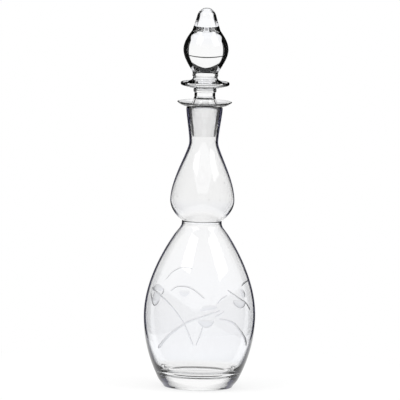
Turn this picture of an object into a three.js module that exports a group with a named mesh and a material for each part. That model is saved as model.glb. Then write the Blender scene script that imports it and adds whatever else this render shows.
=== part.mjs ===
// Stoppered glass decanter: a double-gourd bottle with a heavy base and a turned-out lip,
// closed by a solid stopper with a ground plug, a collar and a pear-shaped finial.
// Millimetres, +Z up, origin at the centre of the base on the surface that it stands on.

import * as THREE from 'three';

// Driving dimensions of the decanter
const STANDING_RING_RADIUS = 31.6;
const STANDING_RING_WIDTH = 3;
const FOOT_EDGE_RADIUS = 33.4;
const FOOT_EDGE_HEIGHT = 1.5;
const BASE_HOLLOW = 1.2;
const BASE_THICKNESS = 13.2;
const BOWL_RADIUS = 38.2;
const BOWL_HEIGHT = 19.4;
const HEEL_RADIUS = 38.4;
const HEEL_HEIGHT = 8;
const BELLY_RADIUS = 53.6;
const BELLY_HEIGHT = 69.5;
const BELLY_WALL = 2.2;
const SHOULDER_RADIUS = 26;
const SHOULDER_HEIGHT = 147;
const WAIST_RADIUS = 19.2;
const WAIST_HEIGHT = 158;
const WAIST_WALL = 1.8;
const CREASE_HEIGHT = 160.7;
const BULB_RADIUS = 30.9;
const BULB_HEIGHT = 180;
const BULB_WALL = 1.1;
const THROAT_RADIUS = 13.9;
const THROAT_HEIGHT = 236;
const THROAT_WALL = 2.2;
const NECK_TOP_RADIUS = 17.5;
const NECK_TOP_HEIGHT = 270.2;
const NECK_END_RADIUS = 16.7;
const LIP_RADIUS = 26.2;
const LIP_RIM_HEIGHT = 274.5;
const LIP_RIM_HALF = 0.5;
const LIP_DISH_HEIGHT = 272;

// Ground seat that the plug fits, a cone that narrows downwards
const SEAT_BOTTOM_HEIGHT = 250;
const SEAT_BOTTOM_RADIUS = 13;
const SEAT_TAPER = 0.12;
const SEAT_GAP = 0.15;

// Driving dimensions of the stopper
const PLUG_BOTTOM_HEIGHT = 242;
const PLUG_FOOT_RADIUS = 11.2;
const PLUG_SHOULDER_HEIGHT = 250.6;
const PLUG_TOP_HEIGHT = 268.4;
const FLARE_RADIUS = 10.3;
const SHANK_RADIUS = 10.05;
const SHANK_FOOT_HEIGHT = 279.2;
const BEAD_BOTTOM_HEIGHT = 284;
const BEAD_TOP_HEIGHT = 287.6;
const BEAD_RADIUS = 11.1;
const COLLAR_RADIUS = 23.5;
const COLLAR_RIM_HEIGHT = 292.2;
const COLLAR_RIM_HALF = 1.5;
const COLLAR_DISH_RADIUS = 19;
const COLLAR_DISH_HEIGHT = 292.9;
const COLLAR_TOP_HEIGHT = 296.2;
const FOOT_GROOVE_HEIGHT = 298.2;
const FOOT_TOP_HEIGHT = 303;
const FINIAL_FOOT_RADIUS = 12.4;
const FINIAL_BALL_RADIUS = 21.6;
const FINIAL_BALL_HEIGHT = 324.2;
const FINIAL_SHOULDER_RADIUS = 13.6;
const FINIAL_SHOULDER_HEIGHT = 343;
const FINIAL_TIP_RADIUS = 9.3;
const FINIAL_TIP_HEIGHT = 356.6;
const TOTAL_HEIGHT = 365;

// Fineness of the turned surfaces
const CURVE_STEP_LENGTH = 8;
const CURVE_STEPS_LEAST = 2;
const CURVE_STEPS_MOST = 9;
const TURN_STEPS = 40;

function seatRadius(height) {
  return SEAT_BOTTOM_RADIUS + SEAT_TAPER * (height - SEAT_BOTTOM_HEIGHT);
}

// A knot of an outline: radius and height, with the curve handles that lead into and out of it.
// Between two knots without handles the outline is straight.
function knot(radius, height, into = [0, 0], out = [0, 0]) {
  return { radius, height, into, out };
}

function isStraight(from, to) {
  return from.out.every((v) => v === 0) && to.into.every((v) => v === 0);
}

// The stretch of outline between two knots, without its first point.
function stretch(from, to) {
  const end = new THREE.Vector2(to.radius, to.height);
  if (isStraight(from, to)) {
    return [end];
  }
  const curve = new THREE.CubicBezierCurve(
    new THREE.Vector2(from.radius, from.height),
    new THREE.Vector2(from.radius + from.out[0], from.height + from.out[1]),
    new THREE.Vector2(to.radius + to.into[0], to.height + to.into[1]),
    end,
  );
  const steps = Math.round(curve.getLength() / CURVE_STEP_LENGTH);
  return curve.getPoints(THREE.MathUtils.clamp(steps, CURVE_STEPS_LEAST, CURVE_STEPS_MOST)).slice(1);
}

// Joins knots into an outline, drawn anticlockwise with the axis on its left.
function outline(knots) {
  const points = [new THREE.Vector2(knots[0].radius, knots[0].height)];
  for (let i = 1; i < knots.length; i++) {
    points.push(...stretch(knots[i - 1], knots[i]));
  }
  return points;
}

// Turns an outline about +Z into a named piece of clear glass.
function turnedGlass(name, knots, colour) {
  const geometry = new THREE.LatheGeometry(outline(knots), TURN_STEPS);
  geometry.rotateX(Math.PI / 2);
  const material = new THREE.MeshStandardMaterial({
    color: colour, roughness: 0.02, metalness: 0, transparent: true, opacity: 0.35,
  });
  const mesh = new THREE.Mesh(geometry, material);
  mesh.name = name;
  return mesh;
}

// Outside of the bottle, from the axis under the base up to the end of the neck.
function bottleOutside() {
  const ringInside = STANDING_RING_RADIUS - STANDING_RING_WIDTH;
  return [
    knot(0, BASE_HOLLOW, [0, 0], [ringInside / 2, 0]),
    knot(ringInside, 0, [-4, 0.3]),
    knot(STANDING_RING_RADIUS, 0, [0, 0], [0.9, 0]),
    knot(FOOT_EDGE_RADIUS, FOOT_EDGE_HEIGHT, [-0.5, -0.9], [1.5, 2.1]),
    knot(HEEL_RADIUS, HEEL_HEIGHT, [-1.3, -2.2], [3.2, 6.2]),
    knot(BELLY_RADIUS, BELLY_HEIGHT, [0, -32.2], [0, 31.5]),
    knot(SHOULDER_RADIUS, SHOULDER_HEIGHT, [9.8, -14.6], [-3.2, 4.7]),
    knot(WAIST_RADIUS, WAIST_HEIGHT, [0, -3.4]),
    knot(WAIST_RADIUS, CREASE_HEIGHT, [0, 0], [4.4, 2.6]),
    knot(BULB_RADIUS, BULB_HEIGHT, [0, -9], [0, 20.7]),
    knot(THROAT_RADIUS, THROAT_HEIGHT, [0, -8.5], [0, 7.8]),
    knot(NECK_TOP_RADIUS, NECK_TOP_HEIGHT - 3, [-0.8, -10], [0.1, 1.6]),
    knot(NECK_END_RADIUS, NECK_TOP_HEIGHT, [0.6, -0.6]),
  ];
}

// Inside of the bottle, from the ground seat down to the axis on the thick base.
function bottleInside() {
  const waistInside = WAIST_RADIUS - WAIST_WALL;
  const bellyInside = BELLY_RADIUS - BELLY_WALL;
  const bulbInside = BULB_RADIUS - BULB_WALL;
  const throatInside = THROAT_RADIUS - THROAT_WALL;
  return [
    knot(seatRadius(NECK_TOP_HEIGHT), NECK_TOP_HEIGHT),
    knot(SEAT_BOTTOM_RADIUS, SEAT_BOTTOM_HEIGHT, [0, 0], [-0.5, -4]),
    knot(throatInside, THROAT_HEIGHT, [0, 4], [0, -9]),
    knot(bulbInside, BULB_HEIGHT, [0, 19.7], [0, -8.4]),
    knot(waistInside, CREASE_HEIGHT - 0.5, [2.6, 2.6]),
    knot(waistInside, WAIST_HEIGHT - 0.4, [0, 0], [0.4, -3]),
    knot(SHOULDER_RADIUS - 1.4, SHOULDER_HEIGHT - 1, [-3, 4.4], [9.6, -14.4]),
    knot(bellyInside, BELLY_HEIGHT, [0, 31.2], [-0.3, -24]),
    knot(BOWL_RADIUS, BOWL_HEIGHT, [4.2, 5.6], [-3.2, -4.2]),
    knot(0, BASE_THICKNESS, [27, 0]),
  ];
}

function decanterBody() {
  return turnedGlass('decanter_body', [...bottleOutside(), ...bottleInside()], 0xf1f5f4);
}

// The lip is a shallow dish with a thin rim, open down the middle for the plug.
function lipDisc() {
  const mouth = seatRadius(LIP_DISH_HEIGHT - 1);
  const bottomBore = knot(seatRadius(NECK_TOP_HEIGHT), NECK_TOP_HEIGHT);
  const knots = [
    bottomBore,
    knot(NECK_END_RADIUS, NECK_TOP_HEIGHT, [0, 0], [3.2, 0.1]),
    knot(LIP_RADIUS - 0.4, LIP_RIM_HEIGHT - LIP_RIM_HALF, [-1.7, -1.9], [0.2, 0.2]),
    knot(LIP_RADIUS, LIP_RIM_HEIGHT, [0, -0.25], [0, 0.25]),
    knot(LIP_RADIUS - 0.5, LIP_RIM_HEIGHT + LIP_RIM_HALF, [0.3, 0], [-1.6, -1.7]),
    knot(mouth + 1, LIP_DISH_HEIGHT, [3.4, 0.15], [-0.6, -0.1]),
    knot(mouth, LIP_DISH_HEIGHT - 1, [0.1, 0.6]),
    bottomBore,
  ];
  return turnedGlass('lip_disc', knots, 0xeff4f3);
}

// The peg is the ground plug, drawn in to a flat foot, with a flare and a short shank above it.
function stopperPeg() {
  const plugShoulder = seatRadius(PLUG_SHOULDER_HEIGHT) - SEAT_GAP;
  const plugTop = seatRadius(PLUG_TOP_HEIGHT) - SEAT_GAP;
  const knots = [
    knot(0, PLUG_BOTTOM_HEIGHT),
    knot(PLUG_FOOT_RADIUS, PLUG_BOTTOM_HEIGHT, [0, 0], [0.6, 2.6]),
    knot(plugShoulder, PLUG_SHOULDER_HEIGHT, [-0.4, -2.6]),
    knot(plugTop, PLUG_TOP_HEIGHT, [0, 0], [0, 0.3]),
    knot(plugTop - 0.6, PLUG_TOP_HEIGHT + 0.7, [0.3, -0.1], [-1.3, 1.9]),
    knot(FLARE_RADIUS, SHANK_FOOT_HEIGHT, [0.9, -3.4]),
    knot(SHANK_RADIUS, SHANK_FOOT_HEIGHT + 0.3),
    knot(SHANK_RADIUS, BEAD_BOTTOM_HEIGHT),
    knot(0, BEAD_BOTTOM_HEIGHT),
  ];
  return turnedGlass('stopper_peg', knots, 0xf3f6f6);
}

// The collar is a dished disc with a rounded, turned-up rim, on a bead.
function stopperCollar() {
  const knots = [
    knot(0, BEAD_BOTTOM_HEIGHT),
    knot(SHANK_RADIUS, BEAD_BOTTOM_HEIGHT, [0, 0], [0.9, 0]),
    knot(BEAD_RADIUS, (BEAD_BOTTOM_HEIGHT + BEAD_TOP_HEIGHT) / 2, [0, -0.9], [0, 0.9]),
    knot(BEAD_RADIUS - 0.8, BEAD_TOP_HEIGHT, [0.6, -0.1], [2.4, 0.2]),
    knot(COLLAR_RADIUS - 0.8, COLLAR_RIM_HEIGHT - COLLAR_RIM_HALF, [-3.4, -1.3], [0.5, 0.3]),
    knot(COLLAR_RADIUS, COLLAR_RIM_HEIGHT, [0, -0.7], [0, 0.7]),
    knot(COLLAR_RADIUS - 0.8, COLLAR_RIM_HEIGHT + COLLAR_RIM_HALF, [0.5, 0], [-1, -0.1]),
    knot(COLLAR_DISH_RADIUS, COLLAR_DISH_HEIGHT, [1.4, 0], [-1.8, 0]),
    knot(FINIAL_FOOT_RADIUS + 0.2, COLLAR_TOP_HEIGHT, [1.6, -1]),
    knot(0, COLLAR_TOP_HEIGHT),
  ];
  return turnedGlass('stopper_collar', knots, 0xf3f6f6);
}

// The finial is a solid pear: a short grooved foot, a ball and a rounded tip.
function stopperFinial() {
  const knots = [
    knot(0, COLLAR_TOP_HEIGHT),
    knot(FINIAL_FOOT_RADIUS, COLLAR_TOP_HEIGHT, [0, 0], [-0.3, 0.6]),
    knot(FINIAL_FOOT_RADIUS - 0.5, FOOT_GROOVE_HEIGHT, [0, -0.6], [0, 0.6]),
    knot(FINIAL_FOOT_RADIUS, FOOT_GROOVE_HEIGHT + 1.4, [-0.3, -0.4]),
    knot(FINIAL_FOOT_RADIUS, FOOT_TOP_HEIGHT, [0, 0], [3, 5.6]),
    knot(FINIAL_BALL_RADIUS, FINIAL_BALL_HEIGHT, [0, -7.5], [0, 8.5]),
    knot(FINIAL_SHOULDER_RADIUS, FINIAL_SHOULDER_HEIGHT, [3, -4.4], [-0.4, 0.8]),
    knot(FINIAL_TIP_RADIUS, FINIAL_TIP_HEIGHT, [1.2, -4.4], [-0.6, 3.4]),
    knot(0, TOTAL_HEIGHT, [5.5, 0]),
  ];
  return turnedGlass('stopper_finial', knots, 0xf4f7f7);
}

const decanter = new THREE.Group();
decanter.add(decanterBody(), lipDisc());

const stopper = new THREE.Group();
stopper.add(stopperPeg(), stopperCollar(), stopperFinial());

const assembly = new THREE.Group();
assembly.add(decanter, stopper);

export default assembly;
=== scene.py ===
import math

import bmesh
import bpy
import numpy as np
from mathutils import Matrix, Vector


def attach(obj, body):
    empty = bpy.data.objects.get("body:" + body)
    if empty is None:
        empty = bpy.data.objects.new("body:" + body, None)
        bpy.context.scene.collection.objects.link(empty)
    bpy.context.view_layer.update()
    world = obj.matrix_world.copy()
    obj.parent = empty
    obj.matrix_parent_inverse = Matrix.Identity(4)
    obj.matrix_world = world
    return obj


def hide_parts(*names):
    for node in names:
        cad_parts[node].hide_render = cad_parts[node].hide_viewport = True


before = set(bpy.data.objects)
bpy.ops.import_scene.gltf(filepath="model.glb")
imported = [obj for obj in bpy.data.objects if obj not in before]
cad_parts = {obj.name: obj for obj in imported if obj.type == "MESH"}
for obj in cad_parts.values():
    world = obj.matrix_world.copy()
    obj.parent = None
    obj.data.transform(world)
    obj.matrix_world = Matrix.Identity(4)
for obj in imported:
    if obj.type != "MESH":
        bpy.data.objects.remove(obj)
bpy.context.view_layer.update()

# Sizes are in millimetres, except in the studio, and MM turns them into metres
MM = 0.001

# Photograph and camera
PHOTO_PIXELS = 400
PIXEL_MM = 0.958
AIM_HEIGHT = 180.1
AXIS_PIXELS_RIGHT_OF_CENTRE = 2.3
CAMERA_ELEVATION = math.radians(6)
CAMERA_ROLL = math.radians(1.4)
SENSOR_MM = 36.0

# Decanter
STANDING_RING_RADIUS = 31.6
STANDING_RING_WIDTH = 3
FOOT_EDGE_RADIUS = 33.4
FOOT_EDGE_HEIGHT = 1.5
BASE_HOLLOW = 1.2
BASE_THICKNESS = 13.2
BOWL_RADIUS = 38.2
BOWL_HEIGHT = 19.4
HEEL_RADIUS = 38.4
HEEL_HEIGHT = 8
BELLY_RADIUS = 53.6
BELLY_HEIGHT = 69.5
BELLY_WALL = 2.2
SHOULDER_RADIUS = 26
SHOULDER_HEIGHT = 147
WAIST_RADIUS = 19.2
WAIST_HEIGHT = 158
WAIST_WALL = 1.8
CREASE_HEIGHT = 160.7
BULB_RADIUS = 30.9
BULB_HEIGHT = 180
BULB_WALL = 1.1
THROAT_RADIUS = 13.9
THROAT_HEIGHT = 236
THROAT_WALL = 2.2
NECK_TOP_RADIUS = 17.5
NECK_TOP_HEIGHT = 270.2
NECK_END_RADIUS = 16.7
LIP_RADIUS = 26.2
LIP_RIM_HEIGHT = 274.5
LIP_RIM_HALF = 0.5
LIP_DISH_HEIGHT = 272
MOUTH_HEIGHT = LIP_DISH_HEIGHT - 1

# Ground seat of the plug, a cone that narrows downwards
SEAT_BOTTOM_HEIGHT = 250
SEAT_BOTTOM_RADIUS = 13
SEAT_TAPER = 0.12
SEAT_GAP = 0.15
SEAT_CONTACT_HEIGHT = 252.5
SEAT_PRESS = 0.02

# Stopper
PLUG_BOTTOM_HEIGHT = 242
PLUG_FOOT_RADIUS = 11.2
PLUG_SHOULDER_HEIGHT = 250.6
PLUG_TOP_HEIGHT = 268.4
PLUG_WALL = 2.4
PLUG_FOOT_WALL = 1.6
HOLLOW_TOP_HEIGHT = 279.2
HOLLOW_TOP_RADIUS = 8.8
FLARE_RADIUS = 10.3
SHANK_RADIUS = 10.05
SHANK_FOOT_HEIGHT = 279.2
BEAD_BOTTOM_HEIGHT = 284
BEAD_TOP_HEIGHT = 287.6
BEAD_RADIUS = 11.1
COLLAR_RADIUS = 23.5
COLLAR_RIM_HEIGHT = 292.2
COLLAR_RIM_HALF = 1.5
COLLAR_DISH_RADIUS = 19
COLLAR_DISH_HEIGHT = 292.9
COLLAR_TOP_HEIGHT = 296.2
FOOT_GROOVE_HEIGHT = 298.2
FOOT_TOP_HEIGHT = 303
FINIAL_FOOT_RADIUS = 12.4
FINIAL_BALL_RADIUS = 21.6
FINIAL_BALL_HEIGHT = 324.2
FINIAL_SHOULDER_RADIUS = 13.6
FINIAL_SHOULDER_HEIGHT = 343
FINIAL_TIP_RADIUS = 9.3
FINIAL_TIP_HEIGHT = 356.6
TOTAL_HEIGHT = 365

# Glass
GLASS_IOR = 1.52
# Painted shade: the wall's colour turns nearly black where the wall is seen edge-on, standing in for the
# glass's dark outlines. The constants below set where and how dark, also on the lip's edge; the ring of
# light above the solid base stays clear of it
EDGE_REACH = 1.45
EDGE_WALL_MOST = 6
EDGE_SPREAD = 0.25
EDGE_ROOM_LEAST = 0.001
EDGE_TILT_FULL = 0.5
EDGE_TILT_NONE = 0.8
EDGE_PAINTED_SHADE = (0.005, 0.005, 0.012, 1)
WALL_RISE_LEAST = 0.01
LIP_EDGE_WIDTH = 0.2
LIP_EDGE_START = -0.15
BASE_GLINT_HEIGHT = 14.6
BASE_GLINT_HALF = 2.2

# Wheel-cut decoration
CUT_DEPTH = 0.4
CUT_ROUGHNESS = 0.4
CUT_COLOUR = (0.72, 0.73, 0.76, 1)
PETAL_ROUGHNESS = 0.3
PETAL_COLOUR = (0.86, 0.87, 0.9, 1)
CUT_PATH_STEP = 1.0
CUT_PATH_STEPS_LEAST = 2
CUT_ACROSS_STEPS = 8
CUT_OVERLAP = 1.15
CUT_CLEARANCE = 0.6
CUT_END_LENGTH = 2.5
CUT_END_WIDTH = 0.3
CUT_END_LIFT = 0.3
CUT_EDGE_LIFT = 0.05
SLOPE_HALF_STEP = 0.5

# Seed bubbles in the bulb: across and height in a square-on view from the front
BUBBLES = [(-26, 194), (-24, 185), (6.5, 183.5), (17, 183), (-25.5, 174), (21, 199), (-9, 214)]
BUBBLE_RADIUS = 0.4
BUBBLE_DEPTH = 0.65
BUBBLE_SUBDIVISIONS = 3

# Fineness of the turned surfaces
BOTTLE_CURVE_STEP = 1.8
STOPPER_CURVE_STEP = 0.5
CURVE_STEPS_LEAST = 6
TURN_STEPS = 224
SHARP_ANGLE = math.radians(32)

# Studio colours, the strength of the background and the matte share of the floor
WHITE = (1, 1, 1, 1)
BACKGROUND_STRENGTH = 1.0
FLOOR_COLOUR = (0.9, 0.9, 0.9, 1)
FLOOR_SHADE = 0.3
CARD_COLOUR = (0.005, 0.005, 0.005, 1)

# Painted shade on the floor, seen only through the glass: cool grey tones at shares of its reach (set with
# the studio sizes below) from the axis
PAINTED_FLOOR_SHADE_START = 0.03
PAINTED_FLOOR_SHADES = [(0.05, (0.94, 0.96, 1, 1)), (0.14, (0.96, 0.97, 1, 1))]

# Lamps: name, place in metres and power in watts
LAMPS = [("key", (-0.9, -0.9, 1.6), 12), ("fill", (1.1, -0.5, 1.3), 8)]

# Studio, in metres
CAMERA_DISTANCE = 8.0
CAMERA_CLIP_END = 100.0
LAMP_SIZE = 0.9
LAMP_AIM = (0, 0, 0.15)
FLOOR_DROP = 0.0003
FLOOR_SIZE = 40.0
FLOOR_SHADE_REACH = 0.3
# Reach of the painted shade on the floor that shows through the glass
PAINTED_FLOOR_SHADE_REACH = 1.6
CARD_DISTANCE = 0.17
CARD_REAR_LOW = 0.15
CARD_REAR_HIGH = 0.24
CARD_STEP_LOW = 0.16
CARD_STEP_HIGH = 0.2
MIRROR_CARD_FRONT = 0.05
MIRROR_CARD_REAR = 0.5
MIRROR_CARD_REAR_LOW = 0.28
CARD_FRONT = -0.6
CARD_HEIGHT = 0.7
STRIP_REAR = 1.0
STRIP_HALF_TURN = math.radians(50)
STRIP_STEPS = 16
STRIP_LOW = 0.482
STRIP_HIGH = 0.52
CEILING_HALF_WIDTH = 0.6
CEILING_REAR = 0.59


def knot(radius, height, into=(0, 0), out=(0, 0)):
    """A point of an outline, with the curve handles that lead into and out of it."""
    return {"at": Vector((radius, height)), "into": Vector(into), "out": Vector(out)}


def stretch(start, end, step):
    """The points between two knots, without the first one."""
    if start["out"].length == 0 and end["into"].length == 0:
        return [end["at"]]
    a, b = start["at"], start["at"] + start["out"]
    c, d = end["at"] + end["into"], end["at"]
    length = ((b - a).length + (c - b).length + (d - c).length + (d - a).length) / 2
    steps = max(CURVE_STEPS_LEAST, round(length / step))
    points = []
    for i in range(1, steps + 1):
        t = i / steps
        u = 1 - t
        points.append(a * u**3 + b * (3 * u * u * t) + c * (3 * u * t * t) + d * t**3)
    return points


def outline(knots, step):
    points = [knots[0]["at"]]
    for start, end in zip(knots, knots[1:]):
        points.extend(stretch(start, end, step))
    return points


def turned_mesh(name, points):
    """A closed mesh turned about +Z from an outline that starts and ends on the axis."""
    rings = points[1:-1]
    verts = [(0, 0, points[0].y * MM)]
    for p in rings:
        for i in range(TURN_STEPS):
            angle = 2 * math.pi * i / TURN_STEPS
            verts.append((p.x * MM * math.cos(angle), p.x * MM * math.sin(angle), p.y * MM))
    verts.append((0, 0, points[-1].y * MM))
    last = len(verts) - 1
    faces = []
    for i in range(TURN_STEPS):
        j = (i + 1) % TURN_STEPS
        faces.append((0, 1 + j, 1 + i))
        for k in range(len(rings) - 1):
            low = 1 + k * TURN_STEPS
            high = low + TURN_STEPS
            faces.append((low + i, low + j, high + j, high + i))
        top = 1 + (len(rings) - 1) * TURN_STEPS
        faces.append((top + i, top + j, last))
    mesh = bpy.data.meshes.new(name)
    mesh.from_pydata(verts, [], faces)
    mesh.validate()
    mesh.shade_smooth()
    mesh.set_sharp_from_angle(angle=SHARP_ANGLE)
    return mesh


def mark_wall(mesh, outside, inside):
    """Writes how edge-on the wall has to be seen before its colour is painted dark, a painted shade for the
    glass's dark outlines: early where it is thick or has the plug behind it, late where it is thin. The
    inside and the ring of light above the solid base never get this painted shade, and of the lip only its
    edge does."""
    places = np.empty(len(mesh.vertices) * 3)
    mesh.vertices.foreach_get("co", places)
    places = places.reshape(-1, 3) / MM
    radius = np.hypot(places[:, 0], places[:, 1])
    height = places[:, 2]
    lowest = min(range(len(outside)), key=lambda i: outside[i].y)
    outer_heights = [p.y for p in outside[lowest:]]
    outer_radii = [p.x for p in outside[lowest:]]
    outer = np.interp(height, outer_heights, outer_radii)
    inner = np.interp(height, [p.y for p in reversed(inside)], [p.x for p in reversed(inside)], left=0)
    slope = np.gradient(outer_radii) / np.maximum(np.gradient(outer_heights), WALL_RISE_LEAST)
    tilt = np.interp(height, outer_heights, 1 / np.sqrt(1 + slope**2))
    plugged = np.clip((height - SEAT_CONTACT_HEIGHT) / (PLUG_TOP_HEIGHT - SEAT_CONTACT_HEIGHT), 0, 1)
    wall = np.minimum((outer - inner + plugged * PLUG_WALL) * tilt, EDGE_WALL_MOST)
    starts = 1 - np.sqrt(np.minimum(1, 2 * wall * EDGE_REACH / outer))
    on_inside = radius < outer - wall / 2
    on_lip = height > NECK_TOP_HEIGHT
    on_lip_edge = on_lip & (radius > LIP_RADIUS - LIP_EDGE_WIDTH)
    starts[on_inside | on_lip] = 1
    starts[on_lip_edge] = LIP_EDGE_START
    glint = np.clip(1 - np.abs(height - BASE_GLINT_HEIGHT) / BASE_GLINT_HALF, 0, 1)
    starts += (1 - starts) * glint
    mesh.attributes.new("edge_start", "FLOAT", "POINT").data.foreach_set("value", starts)


def seat_radius(height):
    return SEAT_BOTTOM_RADIUS + SEAT_TAPER * (height - SEAT_BOTTOM_HEIGHT)


def bottle_outside():
    """From the axis under the base up to the crease below the lip."""
    ring_inside = STANDING_RING_RADIUS - STANDING_RING_WIDTH
    return [
        knot(0, BASE_HOLLOW, out=(ring_inside / 2, 0)),
        knot(ring_inside, 0, into=(-4, 0.3)),
        knot(STANDING_RING_RADIUS, 0, out=(0.9, 0)),
        knot(FOOT_EDGE_RADIUS, FOOT_EDGE_HEIGHT, into=(-0.5, -0.9), out=(1.5, 2.1)),
        knot(HEEL_RADIUS, HEEL_HEIGHT, into=(-1.3, -2.2), out=(3.2, 6.2)),
        knot(BELLY_RADIUS, BELLY_HEIGHT, into=(0, -32.2), out=(0, 31.5)),
        knot(SHOULDER_RADIUS, SHOULDER_HEIGHT, into=(9.8, -14.6), out=(-3.2, 4.7)),
        knot(WAIST_RADIUS, WAIST_HEIGHT, into=(0, -3.4), out=(0, 1)),
        knot(WAIST_RADIUS, CREASE_HEIGHT, into=(-0.1, -1), out=(4.4, 2.6)),
        knot(BULB_RADIUS, BULB_HEIGHT, into=(0, -9), out=(0, 20.7)),
        knot(THROAT_RADIUS, THROAT_HEIGHT, into=(0, -8.5), out=(0, 7.8)),
        knot(NECK_TOP_RADIUS, NECK_TOP_HEIGHT - 3, into=(-0.8, -10), out=(0.1, 1.6)),
        knot(NECK_END_RADIUS, NECK_TOP_HEIGHT, into=(0.6, -0.6), out=(3.2, 0.1)),
    ]


def lip_outside():
    """From the crease below the lip, round the rim and over the dish to the mouth."""
    mouth = seat_radius(MOUTH_HEIGHT)
    return [
        knot(LIP_RADIUS - 0.4, LIP_RIM_HEIGHT - LIP_RIM_HALF, into=(-1.7, -1.9), out=(0.2, 0.2)),
        knot(LIP_RADIUS, LIP_RIM_HEIGHT, into=(0, -0.25), out=(0, 0.25)),
        knot(LIP_RADIUS - 0.5, LIP_RIM_HEIGHT + LIP_RIM_HALF, into=(0.3, 0), out=(-1.6, -1.7)),
        knot(mouth + 1, LIP_DISH_HEIGHT, into=(3.4, 0.15), out=(-0.6, -0.1)),
        knot(mouth, MOUTH_HEIGHT, into=(0.1, 0.6)),
    ]


def bottle_inside():
    """From the mouth down the ground seat and the inside wall to the axis on the thick base."""
    waist = WAIST_RADIUS - WAIST_WALL
    throat = THROAT_RADIUS - THROAT_WALL
    return [
        knot(seat_radius(MOUTH_HEIGHT), MOUTH_HEIGHT),
        knot(SEAT_BOTTOM_RADIUS, SEAT_BOTTOM_HEIGHT, out=(-0.5, -4)),
        knot(throat, THROAT_HEIGHT, into=(0, 4), out=(0, -9)),
        knot(BULB_RADIUS - BULB_WALL, BULB_HEIGHT, into=(0, 19.7), out=(0, -8.4)),
        knot(waist, CREASE_HEIGHT - 0.5, into=(2.6, 2.6), out=(-0.6, -0.8)),
        knot(waist, WAIST_HEIGHT - 0.4, into=(-0.5, 0.8), out=(0.4, -3)),
        knot(SHOULDER_RADIUS - 1.4, SHOULDER_HEIGHT - 1, into=(-3, 4.4), out=(9.6, -14.4)),
        knot(BELLY_RADIUS - BELLY_WALL, BELLY_HEIGHT, into=(0, 31.2), out=(-0.3, -24)),
        knot(BOWL_RADIUS, BOWL_HEIGHT, into=(4.2, 5.6), out=(-3.2, -4.2)),
        knot(0, BASE_THICKNESS, into=(27, 0)),
    ]


def stopper_outline():
    """From the top of the plug's hollow, down inside it and up over the shank, collar and finial."""
    plug_shoulder = seat_radius(PLUG_SHOULDER_HEIGHT) - SEAT_GAP
    plug_contact = seat_radius(SEAT_CONTACT_HEIGHT) + SEAT_PRESS
    plug_top = seat_radius(PLUG_TOP_HEIGHT) + SEAT_PRESS
    return [
        knot(0, HOLLOW_TOP_HEIGHT, out=(5.5, 0)),
        knot(HOLLOW_TOP_RADIUS, HOLLOW_TOP_HEIGHT - 2.4, into=(-0.1, 1.3), out=(0.4, -1.4)),
        knot(plug_top - PLUG_WALL, PLUG_TOP_HEIGHT - 2, into=(-0.9, 2.6)),
        knot(plug_shoulder - PLUG_WALL, PLUG_SHOULDER_HEIGHT, out=(-0.2, -1.6)),
        knot(PLUG_FOOT_RADIUS - PLUG_FOOT_WALL, PLUG_BOTTOM_HEIGHT),
        knot(PLUG_FOOT_RADIUS, PLUG_BOTTOM_HEIGHT, out=(0.6, 2.6)),
        knot(plug_shoulder, PLUG_SHOULDER_HEIGHT, into=(-0.4, -2.6), out=(0.1, 1)),
        knot(plug_contact, SEAT_CONTACT_HEIGHT, into=(-0.2, -1.6)),
        knot(plug_top, PLUG_TOP_HEIGHT, out=(0, 0.3)),
        knot(plug_top - 0.6, PLUG_TOP_HEIGHT + 0.7, into=(0.3, -0.1), out=(-1.3, 1.9)),
        knot(FLARE_RADIUS, SHANK_FOOT_HEIGHT, into=(0.9, -3.4)),
        knot(SHANK_RADIUS, SHANK_FOOT_HEIGHT + 0.3),
        knot(SHANK_RADIUS, BEAD_BOTTOM_HEIGHT, out=(0.9, 0)),
        knot(BEAD_RADIUS, (BEAD_BOTTOM_HEIGHT + BEAD_TOP_HEIGHT) / 2, into=(0, -0.9), out=(0, 0.9)),
        knot(BEAD_RADIUS - 0.8, BEAD_TOP_HEIGHT, into=(0.6, -0.1), out=(2.4, 0.2)),
        knot(COLLAR_RADIUS - 0.8, COLLAR_RIM_HEIGHT - COLLAR_RIM_HALF,
             into=(-3.4, -1.3), out=(0.5, 0.3)),
        knot(COLLAR_RADIUS, COLLAR_RIM_HEIGHT, into=(0, -0.7), out=(0, 0.7)),
        knot(COLLAR_RADIUS - 0.8, COLLAR_RIM_HEIGHT + COLLAR_RIM_HALF, into=(0.5, 0), out=(-1, -0.1)),
        knot(COLLAR_DISH_RADIUS, COLLAR_DISH_HEIGHT, into=(1.4, 0), out=(-1.8, 0)),
        knot(FINIAL_FOOT_RADIUS + 0.2, COLLAR_TOP_HEIGHT, into=(1.6, -1)),
        knot(FINIAL_FOOT_RADIUS, COLLAR_TOP_HEIGHT + 0.3, out=(-0.3, 0.3)),
        knot(FINIAL_FOOT_RADIUS - 0.5, FOOT_GROOVE_HEIGHT, into=(0, -0.6), out=(0, 0.6)),
        knot(FINIAL_FOOT_RADIUS, FOOT_GROOVE_HEIGHT + 1.4, into=(-0.3, -0.4)),
        knot(FINIAL_FOOT_RADIUS, FOOT_TOP_HEIGHT, out=(3, 5.6)),
        knot(FINIAL_BALL_RADIUS, FINIAL_BALL_HEIGHT, into=(0, -7.5), out=(0, 8.5)),
        knot(FINIAL_SHOULDER_RADIUS, FINIAL_SHOULDER_HEIGHT, into=(3, -4.4), out=(-0.4, 0.8)),
        knot(FINIAL_TIP_RADIUS, FINIAL_TIP_HEIGHT, into=(1.2, -4.4), out=(-0.6, 3.4)),
        knot(0, TOTAL_HEIGHT, into=(5.5, 0)),
    ]


def cut(width, points, end_width=None, back=False):
    """One stroke of the wheel: its width, a width at its far end, and points of across and height in a
    square-on view from the front. Strokes on the back are set out as they show through the front."""
    return {"widths": (width, end_width or width), "points": [Vector(p) for p in points], "back": back}


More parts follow.
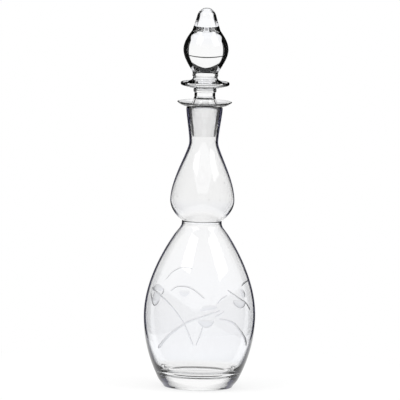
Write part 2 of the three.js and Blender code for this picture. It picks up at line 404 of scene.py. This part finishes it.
def petals():
    return [
        cut(9, [(-46, 96), (-40, 97.5), (-34.5, 97)]),
        cut(15, [(-43, 95), (-42, 88), (-42, 81.5)]),
        cut(8, [(31.5, 88.5), (38, 85), (44, 86.5)]),
        cut(7.5, [(38, 99), (41, 94.5), (42, 89.5)]),
        cut(7, [(-2, 69.5), (6.5, 67.5), (14.5, 70)]),
        cut(5, [(0, 80), (7, 82.5), (17, 83)]),
        cut(7, [(-21, 86), (-15.5, 83.5), (-10, 86)], back=True),
        cut(1.4, [(-35, 98.5), (-28.5, 106), (-18, 110.5), (-7.5, 108.5)], back=True),
        cut(1.4, [(-30, 86.5), (-22.5, 91), (-9, 89), (5.5, 78.5)], back=True),
    ]


# Grooves along the lower edges of the petals: the grooves are real cuts, and their grey there is painted
# shade for the darker lower rims of the petals
def petal_rims():
    return [
        cut(1.4, [(-47, 92), (-45, 83), (-42, 81.5), (-38, 87)]),
        cut(1.2, [(-34.5, 98.5), (-35.5, 93.5), (-38, 91.5)]),
        cut(1.4, [(32, 89), (33.5, 84.5), (38.5, 81.5), (42.5, 83), (43.5, 87)]),
        cut(1.4, [(38.5, 98), (42.5, 94), (43, 90.5)]),
        cut(1.3, [(-1.5, 69.5), (2, 65.5), (7, 64), (11.5, 66), (14, 70.5)]),
    ]


def stems():
    return [
        cut(1.6, [(-46, 97), (-30.5, 86), (-16, 69), (-5, 45.5)], 1.1),
        cut(1.3, [(-3, 45.5), (0.5, 54.5), (3.5, 65)]),
        cut(1.2, [(16, 86), (20.5, 90.5), (26.5, 94)]),
        cut(1.4, [(25.5, 99), (39, 89), (44.5, 84.5), (48.5, 77.5)], 2),
        cut(1.6, [(39, 101), (41.5, 103.5), (45.5, 105)]),
        cut(1.3, [(14, 73.5), (20, 76.5), (24, 79.5)]),
    ]


def long_stems():
    return [
        cut(3.2, [(-39, 40), (-28.5, 54.5), (-12.5, 67.5), (5.5, 75), (20, 80)], 1.3),
        cut(1.6, [(18, 72), (27, 70), (34.5, 65.5), (43.5, 52), (45.5, 43)], 3.2),
    ]


def smooth_path(points):
    """Evenly spaced points on a smooth curve through the given ones."""
    ends = [points[0] * 2 - points[1]] + points + [points[-1] * 2 - points[-2]]
    path = [points[0]]
    for a, b, c, d in zip(ends, ends[1:], ends[2:], ends[3:]):
        steps = max(CUT_PATH_STEPS_LEAST, round((c - b).length / CUT_PATH_STEP))
        for i in range(1, steps + 1):
            t = i / steps
            path.append((b * 2 + (c - a) * t + (a * 2 - b * 5 + c * 4 - d) * t**2
                         + (b * 3 - a - c * 3 + d) * t**3) / 2)
    return path


class Wall:
    """The outside of the bottle, to set cuts out on."""

    def __init__(self, outside):
        self.heights = [p.y for p in outside]
        self.radii = [p.x for p in outside]

    def radius(self, height):
        return float(np.interp(height, self.heights, self.radii))

    def point(self, across, height, back):
        depth = math.sqrt(self.radius(height)**2 - across**2)
        return Vector((across, depth if back else -depth, height))

    def normal(self, point):
        widening = self.radius(point.z + SLOPE_HALF_STEP) - self.radius(point.z - SLOPE_HALF_STEP)
        slope = widening / (2 * SLOPE_HALF_STEP)
        flat = Vector((point.x, point.y, 0)).normalized()
        return (flat - Vector((0, 0, slope))).normalized()

    def onto(self, point):
        """The point moved level onto the wall."""
        flat = Vector((point.x, point.y, 0)).normalized() * self.radius(point.z)
        return Vector((flat.x, flat.y, point.z))


def blade_section(place, side, half, fullness, wall):
    """Points round one section of a blade: hollow-ground below, clear of the wall above."""
    section = []
    for k in range(CUT_ACROSS_STEPS + 1):
        offset = CUT_OVERLAP * (2 * k / CUT_ACROSS_STEPS - 1)
        foot = wall.onto(place + side * half * offset)
        middle = CUT_DEPTH * (fullness * (1 + CUT_END_LIFT) - CUT_END_LIFT)
        deep = middle * (1 - offset**2) - CUT_EDGE_LIFT * offset**2
        section.append(foot - wall.normal(foot) * deep)
    for foot in (section[-1], section[0]):
        section.append(foot + wall.normal(foot) * CUT_CLEARANCE)
    return section


def blade_sections(stroke, wall):
    """Sections along the stroke, which narrows and lifts out of the wall at both ends."""
    path = [wall.point(p.x, p.y, stroke["back"]) for p in smooth_path(stroke["points"])]
    run = [0]
    for a, b in zip(path, path[1:]):
        run.append(run[-1] + (b - a).length)
    length = run[-1]
    sections = []
    for i, place in enumerate(path):
        t = run[i] / length
        ahead = path[min(i + 1, len(path) - 1)] - path[max(i - 1, 0)]
        side = wall.normal(place).cross(ahead).normalized()
        width = stroke["widths"][0] * (1 - t) + stroke["widths"][1] * t
        from_end = min(run[i], length - run[i])
        end_length = min(length / 2, max(CUT_END_LENGTH, width))
        fullness = math.sqrt(min(1, from_end / end_length))
        half = width / 2 * max(fullness, CUT_END_WIDTH)
        sections.append(blade_section(place, side, half, fullness, wall))
    return sections


def add_cutter(shape, stroke, wall):
    """Adds a closed blade along the stroke."""
    rings = [[shape.verts.new(v * MM) for v in section] for section in blade_sections(stroke, wall)]
    for a, b in zip(rings, rings[1:]):
        for k in range(len(a)):
            j = (k + 1) % len(a)
            shape.faces.new((a[k], a[j], b[j], b[k]))
    shape.faces.new(rings[0])
    shape.faces.new(list(reversed(rings[-1])))


def cutter_mesh(name, strokes, wall):
    shape = bmesh.new()
    for stroke in strokes:
        add_cutter(shape, stroke, wall)
    bmesh.ops.recalc_face_normals(shape, faces=shape.faces)
    mesh = bpy.data.meshes.new(name)
    shape.to_mesh(mesh)
    shape.free()
    return mesh


def cut_away(obj, cutter):
    """Takes the cutter's shape out of the object, which gets the cutter's material on the cut faces."""
    modifier = obj.modifiers.new(cutter.name, "BOOLEAN")
    modifier.operation = "DIFFERENCE"
    modifier.solver = "MANIFOLD"
    modifier.object = cutter
    modifier.material_mode = "TRANSFER"
    bpy.context.view_layer.update()
    shown = obj.evaluated_get(bpy.context.evaluated_depsgraph_get())
    mesh = bpy.data.meshes.new_from_object(shown)
    obj.modifiers.clear()
    obj.data = mesh
    bpy.data.objects.remove(cutter)


def add_bubbles(mesh, wall):
    """Small round hollows inside the wall of the bulb."""
    shape = bmesh.new()
    shape.from_mesh(mesh)
    for across, height in BUBBLES:
        place = wall.point(across, height, back=False)
        place -= wall.normal(place) * BUBBLE_DEPTH
        hollow = bmesh.ops.create_icosphere(shape, subdivisions=BUBBLE_SUBDIVISIONS,
                                            radius=BUBBLE_RADIUS * MM,
                                            matrix=Matrix.Translation(place * MM))
        faces = {face for vert in hollow["verts"] for face in vert.link_faces}
        bmesh.ops.reverse_faces(shape, faces=list(faces))
    shape.to_mesh(mesh)
    shape.free()


def sharpen_cuts(mesh):
    """Crisp edges between the cuts and the polished wall."""
    shape = bmesh.new()
    shape.from_mesh(mesh)
    for face in shape.faces:
        face.smooth = True
    for edge in shape.edges:
        first, second = edge.link_faces
        apart = first.material_index != second.material_index
        edge.smooth = not apart and edge.calc_face_angle() < SHARP_ANGLE
    shape.to_mesh(mesh)
    shape.free()


def new_material(name):
    material = bpy.data.materials.new(name)
    material.use_nodes = True
    material.node_tree.nodes.clear()
    return material, material.node_tree.nodes, material.node_tree.links


def math_node(nodes, links, operation, *values):
    """One Math node. Each value is a number or another node's output."""
    node = nodes.new("ShaderNodeMath")
    node.operation = operation
    for socket, value in zip(node.inputs, values):
        if isinstance(value, (int, float)):
            socket.default_value = value
        else:
            links.new(value, socket)
    return node.outputs[0]


def clear_glass(name):
    """Clear polished glass."""
    material, nodes, links = new_material(name)
    output = nodes.new("ShaderNodeOutputMaterial")
    glass = nodes.new("ShaderNodeBsdfPrincipled")
    glass.inputs["Base Color"].default_value = WHITE
    glass.inputs["Roughness"].default_value = 0.0
    glass.inputs["IOR"].default_value = GLASS_IOR
    glass.inputs["Transmission Weight"].default_value = 1.0
    links.new(glass.outputs["BSDF"], output.inputs["Surface"])
    return material, glass


def matte_glass(name, colour, roughness):
    """The matte face that the wheel leaves."""
    material, glass = clear_glass(name)
    glass.inputs["Base Color"].default_value = colour
    glass.inputs["Roughness"].default_value = roughness
    return material


def upright_share(nodes, links, geometry):
    """1 where the wall stands upright, falling to 0 where it lies level."""
    normal = nodes.new("ShaderNodeSeparateXYZ")
    links.new(geometry.outputs["Normal"], normal.inputs[0])
    upright = nodes.new("ShaderNodeMapRange")
    upright.inputs["From Min"].default_value = EDGE_TILT_FULL
    upright.inputs["From Max"].default_value = EDGE_TILT_NONE
    upright.inputs["To Min"].default_value = 1
    upright.inputs["To Max"].default_value = 0
    links.new(math_node(nodes, links, "ABSOLUTE", normal.outputs["Z"]), upright.inputs["Value"])
    return upright.outputs[0]


def edge_on_share(nodes, links):
    """How far the wall is turned edge-on past the start that mark_wall wrote."""
    facing = nodes.new("ShaderNodeLayerWeight")
    start = nodes.new("ShaderNodeAttribute")
    start.attribute_name = "edge_start"
    past = math_node(nodes, links, "SUBTRACT", facing.outputs["Facing"], start.outputs["Fac"])
    room = math_node(nodes, links, "MULTIPLY_ADD", start.outputs["Fac"], -EDGE_SPREAD,
                     EDGE_SPREAD + EDGE_ROOM_LEAST)
    return math_node(nodes, links, "DIVIDE", past, room)


def wall_glass():
    """The outside of the blown wall, whose colour is painted dark, to almost black, where the wall is seen
    edge-on: a painted shade for the dark outlines of the glass.
    """
    material, glass = clear_glass("wall_glass")
    nodes, links = material.node_tree.nodes, material.node_tree.links
    geometry = nodes.new("ShaderNodeNewGeometry")
    edge_on = math_node(nodes, links, "MULTIPLY", edge_on_share(nodes, links),
                        upright_share(nodes, links, geometry))
    from_outside = math_node(nodes, links, "SUBTRACT", 1, geometry.outputs["Backfacing"])
    edge_on = math_node(nodes, links, "MULTIPLY", edge_on, from_outside)
    # Painted shade: white where the wall faces the view, nearly black where it is edge-on
    edge = nodes.new("ShaderNodeValToRGB")
    edge.color_ramp.elements[0].color = WHITE
    edge.color_ramp.elements[1].color = EDGE_PAINTED_SHADE
    links.new(edge_on, edge.inputs["Fac"])
    links.new(edge.outputs["Color"], glass.inputs["Base Color"])
    return material


def add_object(name, mesh, *materials):
    for material in materials:
        mesh.materials.append(material)
    obj = bpy.data.objects.new(name, mesh)
    bpy.context.scene.collection.objects.link(obj)
    return obj


def make_decanter(glass, petal, line):
    wall = outline(bottle_outside(), BOTTLE_CURVE_STEP)
    lip = outline(bottle_outside()[-1:] + lip_outside(), BOTTLE_CURVE_STEP)
    inside = outline(bottle_inside(), BOTTLE_CURVE_STEP)
    decanter = add_object("decanter_glass", turned_mesh("bottle", wall + lip[1:] + inside[1:]), glass)
    surface = Wall(wall)
    for name, strokes, face in (("petals", petals(), petal), ("petal_rims", petal_rims(), line),
                                ("stems", stems(), line), ("long_stems", long_stems(), line)):
        cut_away(decanter, add_object(name, cutter_mesh(name, strokes, surface), face))
    add_bubbles(decanter.data, surface)
    sharpen_cuts(decanter.data)
    mark_wall(decanter.data, wall, inside)
    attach(decanter, "decanter")
    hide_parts("decanter_body", "lip_disc")


def make_stopper(glass):
    points = outline(stopper_outline(), STOPPER_CURVE_STEP)
    stopper = add_object("stopper_glass", turned_mesh("stopper_glass", points), glass)
    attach(stopper, "stopper")
    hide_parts("stopper_peg", "stopper_collar", "stopper_finial")


def make_camera():
    data = bpy.data.cameras.new("camera")
    data.sensor_width = SENSOR_MM
    data.lens = SENSOR_MM * CAMERA_DISTANCE / (PHOTO_PIXELS * PIXEL_MM * MM)
    data.clip_end = CAMERA_CLIP_END
    camera = bpy.data.objects.new("camera", data)
    bpy.context.scene.collection.objects.link(camera)
    aim = Vector((-AXIS_PIXELS_RIGHT_OF_CENTRE * PIXEL_MM * MM, 0, AIM_HEIGHT * MM))
    back = Vector((0, -math.cos(CAMERA_ELEVATION), math.sin(CAMERA_ELEVATION)))
    turn = (-back).to_track_quat("-Z", "Y").to_matrix() @ Matrix.Rotation(CAMERA_ROLL, 3, "Z")
    camera.matrix_world = Matrix.Translation(aim + back * CAMERA_DISTANCE) @ turn.to_4x4()
    bpy.context.scene.camera = camera
    return camera


def make_world():
    world = bpy.data.worlds.new("studio")
    world.use_nodes = True
    nodes, links = world.node_tree.nodes, world.node_tree.links
    nodes.clear()
    white = nodes.new("ShaderNodeBackground")
    white.inputs["Color"].default_value = WHITE
    white.inputs["Strength"].default_value = BACKGROUND_STRENGTH
    output = nodes.new("ShaderNodeOutputWorld")
    links.new(white.outputs[0], output.inputs["Surface"])
    bpy.context.scene.world = world


def panel(name, corners):
    """A flat sheet of the studio."""
    mesh = bpy.data.meshes.new(name)
    mesh.from_pydata(corners, [], [range(len(corners))])
    obj = add_object(name, mesh)
    return obj


def floor_painted_shade(nodes, links, distance):
    """White, but through the glass a painted shade, a cool grey tint, on the floor a little way from the
    object.
    """
    tone = nodes.new("ShaderNodeValToRGB")
    stops = tone.color_ramp.elements
    stops[0].position = PAINTED_FLOOR_SHADE_START
    stops[0].color = WHITE
    stops[1].color = WHITE
    for position, colour in PAINTED_FLOOR_SHADES:
        stops.new(position).color = colour
    links.new(math_node(nodes, links, "DIVIDE", distance, PAINTED_FLOOR_SHADE_REACH), tone.inputs["Fac"])
    path = nodes.new("ShaderNodeLightPath")
    colour = nodes.new("ShaderNodeMix")
    colour.data_type = "RGBA"
    colour.inputs["A"].default_value = WHITE
    links.new(path.outputs["Is Transmission Ray"], colour.inputs["Factor"])
    links.new(tone.outputs["Color"], colour.inputs["B"])
    return colour.outputs["Result"]


def shaded_share(nodes, links, distance):
    """How much of the floor is matte and takes shadows: most under the object, none further off."""
    near = nodes.new("ShaderNodeMapRange")
    near.inputs["From Max"].default_value = FLOOR_SHADE_REACH
    near.inputs["To Min"].default_value = FLOOR_SHADE
    near.inputs["To Max"].default_value = 0
    links.new(distance, near.inputs["Value"])
    return near.outputs[0]


def pale_floor():
    """As white as the background, with the object's shadow round its foot."""
    material, nodes, links = new_material("pale_floor")
    output = nodes.new("ShaderNodeOutputMaterial")
    place = nodes.new("ShaderNodeNewGeometry")
    from_origin = nodes.new("ShaderNodeVectorMath")
    from_origin.operation = "LENGTH"
    links.new(place.outputs["Position"], from_origin.inputs[0])
    distance = from_origin.outputs["Value"]
    glow = nodes.new("ShaderNodeEmission")
    glow.inputs["Strength"].default_value = BACKGROUND_STRENGTH
    links.new(floor_painted_shade(nodes, links, distance), glow.inputs["Color"])
    matte = nodes.new("ShaderNodeBsdfDiffuse")
    matte.inputs["Color"].default_value = FLOOR_COLOUR
    both = nodes.new("ShaderNodeMixShader")
    links.new(shaded_share(nodes, links, distance), both.inputs["Fac"])
    links.new(glow.outputs[0], both.inputs[1])
    links.new(matte.outputs[0], both.inputs[2])
    links.new(both.outputs[0], output.inputs["Surface"])
    return material


def make_floor():
    half = FLOOR_SIZE / 2
    sides = ((-half, -half), (half, -half), (half, half), (-half, half))
    floor = panel("floor", [(x, y, -FLOOR_DROP) for x, y in sides])
    floor.data.materials.append(pale_floor())


def black_card():
    material, nodes, links = new_material("black_card")
    output = nodes.new("ShaderNodeOutputMaterial")
    matte = nodes.new("ShaderNodeBsdfDiffuse")
    matte.inputs["Color"].default_value = CARD_COLOUR
    links.new(matte.outputs[0], output.inputs["Surface"])
    return material


def card_turntable(camera):
    """Keeps the cards facing the camera, so that every side of the glass is lit as the front is."""
    turntable = bpy.data.objects.new("turntable", None)
    bpy.context.scene.collection.objects.link(turntable)
    track = turntable.constraints.new("LOCKED_TRACK")
    track.target = camera
    track.track_axis = "TRACK_NEGATIVE_Y"
    track.lock_axis = "LOCK_Z"
    return turntable


def facing_card(y, low):
    return [(-CARD_DISTANCE, y, low), (CARD_DISTANCE, y, low),
            (CARD_DISTANCE, y, CARD_HEIGHT), (-CARD_DISTANCE, y, CARD_HEIGHT)]


def overhead_card():
    left, right = -CEILING_HALF_WIDTH, CEILING_HALF_WIDTH
    return [(left, CARD_FRONT, CARD_HEIGHT), (right, CARD_FRONT, CARD_HEIGHT),
            (right, CEILING_REAR, CARD_HEIGHT), (left, CEILING_REAR, CARD_HEIGHT)]


def side_card(x):
    """Reaches further back above its step."""
    return [(x, CARD_FRONT, 0), (x, CARD_REAR_LOW, 0), (x, CARD_REAR_LOW, CARD_STEP_LOW),
            (x, CARD_REAR_HIGH, CARD_STEP_HIGH), (x, CARD_REAR_HIGH, CARD_HEIGHT),
            (x, CARD_FRONT, CARD_HEIGHT)]


def mirror_side_card(x):
    return [(x, MIRROR_CARD_FRONT, 0), (x, MIRROR_CARD_REAR, 0),
            (x, MIRROR_CARD_REAR, CARD_HEIGHT), (x, MIRROR_CARD_FRONT, CARD_HEIGHT)]


def strip_cards():
    """A dark strip that curves round high behind the glass, in flat lengths."""
    arc = [(STRIP_REAR * math.sin(turn), STRIP_REAR * math.cos(turn))
           for turn in np.linspace(-STRIP_HALF_TURN, STRIP_HALF_TURN, STRIP_STEPS)]
    strips = {}
    for i, (first, second) in enumerate(zip(arc, arc[1:])):
        strips[f"strip_rear_{i}"] = [(*first, STRIP_LOW), (*second, STRIP_LOW),
                                     (*second, STRIP_HIGH), (*first, STRIP_HIGH)]
    return strips


def make_dark_surround(camera):
    """Black cards round the glass, which give it its dark edges and leave it open to white behind. The
    camera does not see them. The mirror cards show only in reflections, the strips also through the
    glass, and the other cards only through the glass."""
    cards = {
        "mirror_card_rear": facing_card(MIRROR_CARD_REAR, MIRROR_CARD_REAR_LOW),
        "card_front": facing_card(CARD_FRONT, 0),
        "card_overhead": overhead_card(),
    }
    cards.update(strip_cards())
    for x, side in ((-CARD_DISTANCE, "left"), (CARD_DISTANCE, "right")):
        cards["card_" + side] = side_card(x)
        cards["mirror_card_" + side] = mirror_side_card(x)
    turntable = card_turntable(camera)
    material = black_card()
    for name, corners in cards.items():
        card = panel(name, corners)
        card.data.materials.append(material)
        card.parent = turntable
        card.visible_camera = False
        card.visible_transmission = not name.startswith("mirror")
        card.visible_glossy = name.startswith(("mirror", "strip"))
        card.visible_diffuse = False
        card.visible_shadow = False


def make_lights():
    for name, place, power in LAMPS:
        data = bpy.data.lights.new(name, "AREA")
        data.size = LAMP_SIZE
        data.energy = power
        lamp = bpy.data.objects.new(name, data)
        lamp.location = place
        lamp.rotation_euler = (Vector(LAMP_AIM) - lamp.location).to_track_quat("-Z", "Y").to_euler()
        bpy.context.scene.collection.objects.link(lamp)


camera = make_camera()
make_decanter(wall_glass(), matte_glass("petal_glass", PETAL_COLOUR, PETAL_ROUGHNESS),
              matte_glass("cut_glass", CUT_COLOUR, CUT_ROUGHNESS))
solid_glass, _ = clear_glass("solid_glass")
make_stopper(solid_glass)
make_world()
make_floor()
make_dark_surround(camera)
make_lights()
bpy.context.scene.view_settings.view_transform = "Standard"
